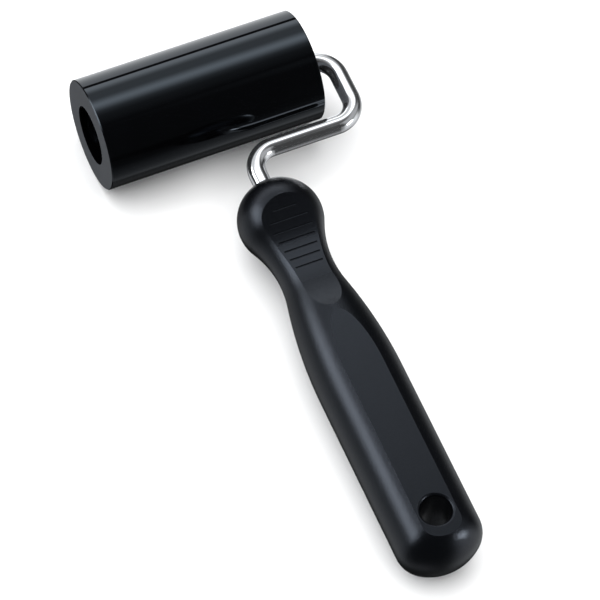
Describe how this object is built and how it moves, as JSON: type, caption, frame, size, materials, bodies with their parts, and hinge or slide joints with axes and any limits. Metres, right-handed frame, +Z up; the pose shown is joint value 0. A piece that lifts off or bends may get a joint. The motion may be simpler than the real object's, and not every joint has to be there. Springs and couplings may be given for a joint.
{
  "type": "rubber brayer",
  "caption": "Hand brayer: a black rubber roller on ball bearings, on one bent steel rod, with a moulded handle that has a thumb rest and a hang hole.",
  "frame": {"origin": "on the ground, under the middle of the whole brayer as it lies on its roller and on the far end of its handle", "axes": "+X along the axle towards the bent arm, +Y from the handle to the roller, +Z up"},
  "size_m": [0.0702, 0.1628, 0.03],
  "materials": {
    "rubber": "smooth moulded black rubber, glossy, sharp ended",
    "core": "black moulded plastic",
    "rod_steel": "bright drawn steel rod, polished",
    "handle_plastic": "satin black moulded plastic with a fine texture",
    "bearing_steel": "ground bearing steel",
    "ball_steel": "polished bearing balls",
    "cage_steel": "pressed steel strip",
    "shield_steel": "thin pressed steel",
    "washer_steel": "zinc plated steel",
    "spring_steel": "phosphated spring steel"
  },
  "bodies": {
    "frame": {"frame_rod": "rod_steel", "handle": "handle_plastic", "outboard_bearing_inner_ring": "bearing_steel", "outboard_thrust_washer": "washer_steel", "outboard_retaining_ring": "spring_steel", "inboard_bearing_inner_ring": "bearing_steel", "inboard_thrust_washer": "washer_steel", "inboard_retaining_ring": "spring_steel"},
    "roller": {"rubber_sleeve": "rubber", "core_tube": "core", "outboard_bearing_outer_ring": "bearing_steel", "outboard_bearing_outer_shield": "shield_steel", "outboard_bearing_inner_shield": "shield_steel", "inboard_bearing_outer_ring": "bearing_steel", "inboard_bearing_outer_shield": "shield_steel", "inboard_bearing_inner_shield": "shield_steel"},
    "outboard_ball_set": {"outboard_bearing_balls": "ball_steel", "outboard_bearing_cage": "cage_steel"},
    "inboard_ball_set": {"inboard_bearing_balls": "ball_steel", "inboard_bearing_cage": "cage_steel"}
  },
  "joints": [
    {"name": "roller_spin", "type": "hinge", "parent": "frame", "child": "roller", "pos_m": [-0.00505, 0.06643, 0.015], "axis": [1, 0, 0], "continuous": true},
    {"name": "outboard_ball_orbit", "type": "hinge", "parent": "frame", "child": "outboard_ball_set", "pos_m": [-0.00505, 0.06643, 0.015], "axis": [1, 0, 0], "continuous": true},
    {"name": "inboard_ball_orbit", "type": "hinge", "parent": "frame", "child": "inboard_ball_set", "pos_m": [-0.00505, 0.06643, 0.015], "axis": [1, 0, 0], "continuous": true}
  ],
  "couplings": [
    {"joint": "outboard_ball_orbit", "follows": "roller_spin", "ratio": 0.6089},
    {"joint": "inboard_ball_orbit", "follows": "roller_spin", "ratio": 0.6089}
  ]
}
